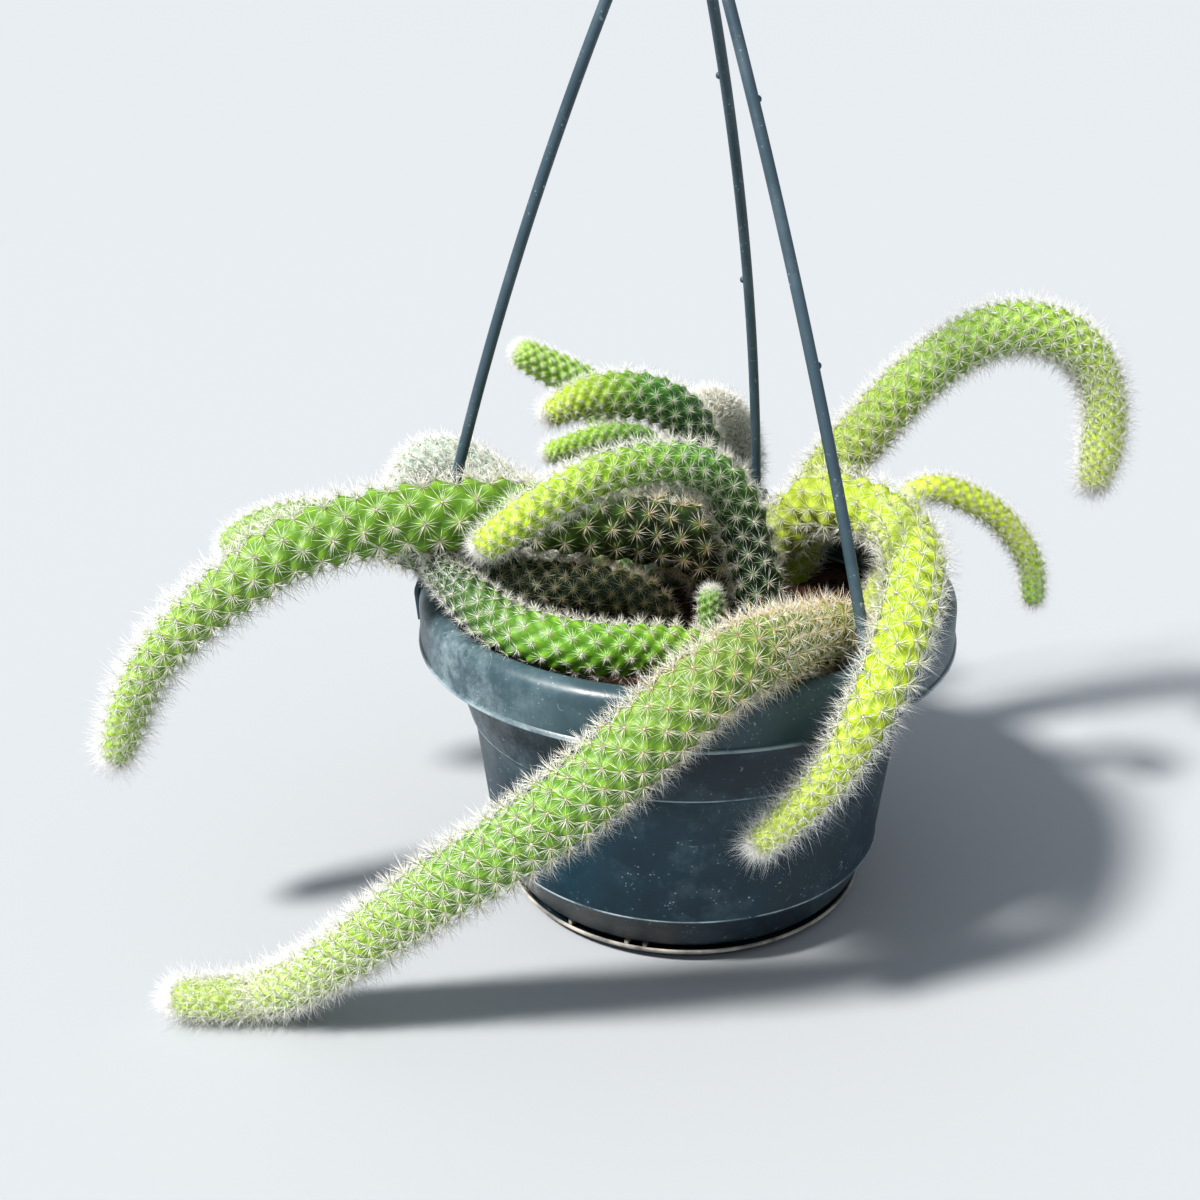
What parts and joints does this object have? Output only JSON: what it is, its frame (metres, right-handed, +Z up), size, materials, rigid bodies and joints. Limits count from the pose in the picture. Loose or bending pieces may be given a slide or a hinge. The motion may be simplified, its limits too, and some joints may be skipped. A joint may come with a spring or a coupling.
{
  "type": "potted monkey tail cactus",
  "caption": "Plastic hanging pot on its saucer, filled with soil, with furry spined cactus stems that arch and trail over the rim, and a stranded hanger with a hook.",
  "frame": {"origin": "centre of the saucer's flat underside, on the pot's axis, in the plane of the surface that the pot stands on", "axes": "+Z up along the pot's axis, -Y towards the front, where the longest stem comes down in front of the pot, +X to the right"},
  "size_m": [0.3315, 0.2315, 0.3532],
  "materials": {
    "pot_plastic": "dark slate blue-green, half gloss, dusty and finely scratched",
    "hanger_plastic": "slate blue, half gloss",
    "soil": "dark reddish brown potting mix, matt and crumbly",
    "stem_green": "fresh green fleshy skin with cream spines and fine white hair",
    "stem_lime": "yellow-green fleshy skin with cream spines and fine white hair",
    "stem_shaded": "grey-green fleshy skin with cream spines and fine white hair"
  },
  "bodies": {
    "root": {"pot": "pot_plastic", "saucer": "pot_plastic", "soil": "soil", "hanger_top": "hanger_plastic", "strand_left": "hanger_plastic", "strand_back": "hanger_plastic", "strand_right": "hanger_plastic", "stem_front": "stem_green", "stem_left": "stem_green", "stem_left_rear": "stem_green", "stem_rim": "stem_green", "stem_arch": "stem_green", "stem_bud": "stem_green", "stem_right": "stem_lime", "stem_high": "stem_lime", "stem_small": "stem_lime", "stem_back_arch": "stem_green", "stem_back_small": "stem_green", "stem_back_tip": "stem_green", "stem_back_left": "stem_shaded", "stem_back": "stem_shaded"}
  },
  "joints": []
}
